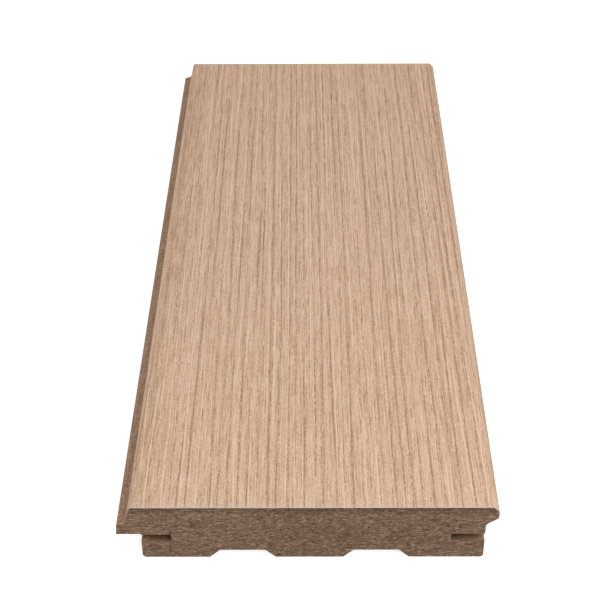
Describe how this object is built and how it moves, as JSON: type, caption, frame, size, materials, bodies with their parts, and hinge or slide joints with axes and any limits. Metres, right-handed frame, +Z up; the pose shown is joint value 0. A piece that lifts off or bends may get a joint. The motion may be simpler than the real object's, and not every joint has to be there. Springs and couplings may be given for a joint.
{
  "type": "decking board",
  "caption": "Flat wood-fibre composite decking board with a brushed walking face, an overlapping edge lip, a coved nosing, sawn clip kerfs and a grooved underside.",
  "frame": {"origin": "middle of the underside, level with the feet", "axes": "+X across the board towards the nosing, +Y along its length, +Z up to the walking face"},
  "size_m": [0.1396, 0.35, 0.0254],
  "materials": {
    "composite": "wire-brushed matte tan walking face over a fibrous brown body"
  },
  "bodies": {
    "root": {"deck_board": "composite"}
  },
  "joints": []
}
